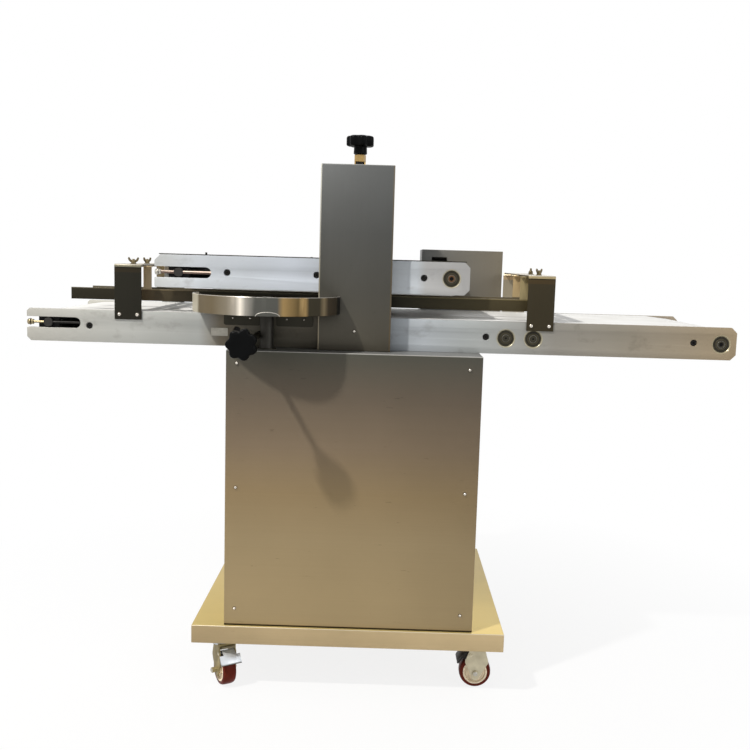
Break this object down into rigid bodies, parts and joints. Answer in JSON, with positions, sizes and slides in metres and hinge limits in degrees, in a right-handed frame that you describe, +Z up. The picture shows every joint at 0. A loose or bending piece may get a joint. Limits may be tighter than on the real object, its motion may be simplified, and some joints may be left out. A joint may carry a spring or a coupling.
{
  "type": "bun slicing machine",
  "caption": "Castered bun slicer: lower belt conveyor, height-adjustable hold-down conveyor in a portal, horizontal disc knife with rack feed, guide rails and arches.",
  "frame": {"origin": "on the floor, under the middle of the machine's bounding box", "axes": "+X along the conveyors from infeed to outfeed, -Y towards the operator, +Z up"},
  "size_m": [1.638, 0.8864, 1.2881],
  "materials": {
    "base_sheet": "brushed, warm",
    "cabinet_sheet": "brushed",
    "conveyor_plate": "anodised, scuffed",
    "slider_bed": "milled",
    "belt": "smooth food-grade belt",
    "roller": "turned",
    "shaft_steel": "turned",
    "bearing_steel": "ground",
    "gantry_sheet": "brushed, dark",
    "lift_screw": "plated",
    "knob": "moulded, black",
    "knife_steel": "ground",
    "motor_casing": "painted",
    "guard_sheet": "brushed",
    "lane_sheet": "brushed",
    "drive_box_sheet": "brushed",
    "caster_zinc": "zinc plated",
    "caster_wheel": "polyurethane tread on a pale core"
  },
  "bodies": {
    "frame": {"base_tray": "base_sheet", "cabinet_shell": "cabinet_sheet", "cabinet_front_panel": "cabinet_sheet", "lower_front_plate": "conveyor_plate", "lower_rear_plate": "conveyor_plate", "lower_slider_bed": "slider_bed", "lower_belt": "belt", "gantry_cover": "gantry_sheet", "knife_guard": "guard_sheet", "quill_bush": "shaft_steel", "infeed_arch": "lane_sheet", "outfeed_arch": "lane_sheet", "rear_drive_box": "drive_box_sheet", "lower_gearmotor": "motor_casing", "caster_plate_front_left": "caster_zinc", "caster_plate_front_right": "caster_zinc", "caster_plate_rear_left": "caster_zinc", "caster_plate_rear_right": "caster_zinc", "lower_head_bearing_front": "bearing_steel", "lower_head_bearing_rear": "bearing_steel", "lower_drive_bearing_front": "bearing_steel", "lower_drive_bearing_rear": "bearing_steel", "lower_snub_bearing_front": "bearing_steel", "lower_snub_bearing_rear": "bearing_steel"},
    "swivel_front_left": {"caster_fork_front_left": "caster_zinc"},
    "wheel_front_left": {"caster_wheel_front_left": "caster_wheel"},
    "pedal_front_left": {"brake_pedal_front_left": "caster_zinc"},
    "swivel_front_right": {"caster_fork_front_right": "caster_zinc"},
    "wheel_front_right": {"caster_wheel_front_right": "caster_wheel"},
    "pedal_front_right": {"brake_pedal_front_right": "caster_zinc"},
    "swivel_rear_left": {"caster_fork_rear_left": "caster_zinc"},
    "wheel_rear_left": {"caster_wheel_rear_left": "caster_wheel"},
    "swivel_rear_right": {"caster_fork_rear_right": "caster_zinc"},
    "wheel_rear_right": {"caster_wheel_rear_right": "caster_wheel"},
    "lower_drive": {"lower_drive_roller": "roller"},
    "lower_head": {"lower_head_roller": "roller"},
    "lower_snub": {"lower_snub_roller": "roller"},
    "lower_tail_carriage": {"lower_tail_axle": "shaft_steel"},
    "lower_tail": {"lower_tail_roller": "roller"},
    "upper_conveyor": {"upper_front_plate": "conveyor_plate", "upper_rear_plate": "conveyor_plate", "upper_drive_bearing_front": "bearing_steel", "upper_drive_bearing_rear": "bearing_steel", "upper_slider_bed": "slider_bed", "upper_belt": "belt", "lift_bridge": "conveyor_plate", "upper_gearmotor": "motor_casing"},
    "upper_drive": {"upper_drive_roller": "roller"},
    "upper_tail_carriage": {"upper_tail_axle": "shaft_steel"},
    "upper_tail": {"upper_tail_roller": "roller"},
    "lift_handle": {"lift_screw": "lift_screw", "lift_knob": "knob"},
    "knife_head": {"knife_quill": "shaft_steel", "knife_motor": "motor_casing"},
    "knife": {"knife_spindle": "shaft_steel", "knife_disc": "knife_steel"},
    "feed_handle": {"feed_shaft": "shaft_steel", "feed_knob": "knob"},
    "front_rail": {"front_rail": "lane_sheet"},
    "rear_rail": {"rear_rail": "lane_sheet"}
  },
  "joints": [
    {"name": "swivel_front_left", "type": "hinge", "parent": "frame", "child": "swivel_front_left", "pos_m": [-0.351, -0.21115, 0.1], "axis": [0, 0, 1], "continuous": true},
    {"name": "roll_front_left", "type": "hinge", "parent": "swivel_front_left", "child": "wheel_front_left", "pos_m": [-0.344, -0.22327, 0.0375], "axis": [0.866, 0.5, 0], "continuous": true},
    {"name": "brake_front_left", "type": "hinge", "parent": "swivel_front_left", "child": "pedal_front_left", "pos_m": [-0.338, -0.23367, 0.0802], "axis": [0.866, 0.5, 0], "range_deg": [0, 8]},
    {"name": "swivel_front_right", "type": "hinge", "parent": "frame", "child": "swivel_front_right", "pos_m": [0.261, -0.19015, 0.1], "axis": [0, 0, 1], "continuous": true},
    {"name": "roll_front_right", "type": "hinge", "parent": "swivel_front_right", "child": "wheel_front_right", "pos_m": [0.247, -0.19015, 0.0375], "axis": [0, -1, 0], "continuous": true},
    {"name": "brake_front_right", "type": "hinge", "parent": "swivel_front_right", "child": "pedal_front_right", "pos_m": [0.235, -0.19015, 0.0802], "axis": [0, -1, 0], "range_deg": [0, 8]},
    {"name": "swivel_rear_left", "type": "hinge", "parent": "frame", "child": "swivel_rear_left", "pos_m": [-0.351, 0.32285, 0.1], "axis": [0, 0, 1], "continuous": true},
    {"name": "roll_rear_left", "type": "hinge", "parent": "swivel_rear_left", "child": "wheel_rear_left", "pos_m": [-0.36312, 0.32985, 0.0375], "axis": [-0.5, -0.866, 0], "continuous": true},
    {"name": "swivel_rear_right", "type": "hinge", "parent": "frame", "child": "swivel_rear_right", "pos_m": [0.261, 0.32285, 0.1], "axis": [0, 0, 1], "continuous": true},
    {"name": "roll_rear_right", "type": "hinge", "parent": "swivel_rear_right", "child": "wheel_rear_right", "pos_m": [0.27416, 0.32764, 0.0375], "axis": [-0.342, 0.9397, 0], "continuous": true},
    {"name": "lower_drive_spin", "type": "hinge", "parent": "frame", "child": "lower_drive", "pos_m": [0.289, 0.05585, 0.83], "axis": [0, 1, 0], "continuous": true},
    {"name": "lower_head_spin", "type": "hinge", "parent": "frame", "child": "lower_head", "pos_m": [0.7845, 0.05585, 0.83], "axis": [0, 1, 0], "continuous": true},
    {"name": "lower_snub_spin", "type": "hinge", "parent": "frame", "child": "lower_snub", "pos_m": [0.352, 0.05585, 0.83], "axis": [0, 1, 0], "continuous": true},
    {"name": "lower_belt_tension", "type": "slide", "parent": "frame", "child": "lower_tail_carriage", "axis": [1, 0, 0], "range_m": [0, 0.02]},
    {"name": "lower_tail_spin", "type": "hinge", "parent": "lower_tail_carriage", "child": "lower_tail", "pos_m": [-0.77, 0.05585, 0.8375], "axis": [0, 1, 0], "continuous": true},
    {"name": "lift_slide", "type": "slide", "parent": "frame", "child": "upper_conveyor", "axis": [0, 0, 1], "range_m": [-0.004, 0.025]},
    {"name": "upper_drive_spin", "type": "hinge", "parent": "upper_conveyor", "child": "upper_drive", "pos_m": [0.159, 0.05585, 0.9627], "axis": [0, 1, 0], "continuous": true},
    {"name": "upper_belt_tension", "type": "slide", "parent": "upper_conveyor", "child": "upper_tail_carriage", "axis": [1, 0, 0], "range_m": [0, 0.02]},
    {"name": "upper_tail_spin", "type": "hinge", "parent": "upper_tail_carriage", "child": "upper_tail", "pos_m": [-0.468, 0.05585, 0.9607], "axis": [0, 1, 0], "continuous": true},
    {"name": "lift_turn", "type": "hinge", "parent": "frame", "child": "lift_handle", "pos_m": [-0.06, -0.07915, 1.2105], "axis": [0, 0, 1], "range_deg": [-2255, 365]},
    {"name": "knife_height", "type": "slide", "parent": "frame", "child": "knife_head", "axis": [0, 0, 1], "range_m": [-0.004, 0.004]},
    {"name": "knife_spin", "type": "hinge", "parent": "knife_head", "child": "knife", "pos_m": [-0.259, -0.20115, 0.9], "axis": [0, 0, 1], "continuous": true},
    {"name": "feed_turn", "type": "hinge", "parent": "frame", "child": "feed_handle", "pos_m": [-0.28015, -0.20115, 0.823], "axis": [0, 1, 0], "range_deg": [-31, 31]},
    {"name": "front_rail_slide", "type": "slide", "parent": "frame", "child": "front_rail", "axis": [0, 1, 0], "range_m": [-0.025, 0.04]},
    {"name": "rear_rail_slide", "type": "slide", "parent": "frame", "child": "rear_rail", "axis": [0, 1, 0], "range_m": [-0.02, 0.12]}
  ],
  "couplings": [
    {"joint": "lower_head_spin", "follows": "lower_drive_spin", "ratio": 0.8},
    {"joint": "lower_snub_spin", "follows": "lower_drive_spin", "ratio": -1},
    {"joint": "lower_tail_spin", "follows": "lower_drive_spin", "ratio": 0.96},
    {"joint": "upper_tail_spin", "follows": "upper_drive_spin", "ratio": 1.55},
    {"joint": "lift_turn", "follows": "lift_slide", "rad_per_m": -1570.8},
    {"joint": "feed_turn", "follows": "knife_height", "rad_per_m": -133.33}
  ]
}
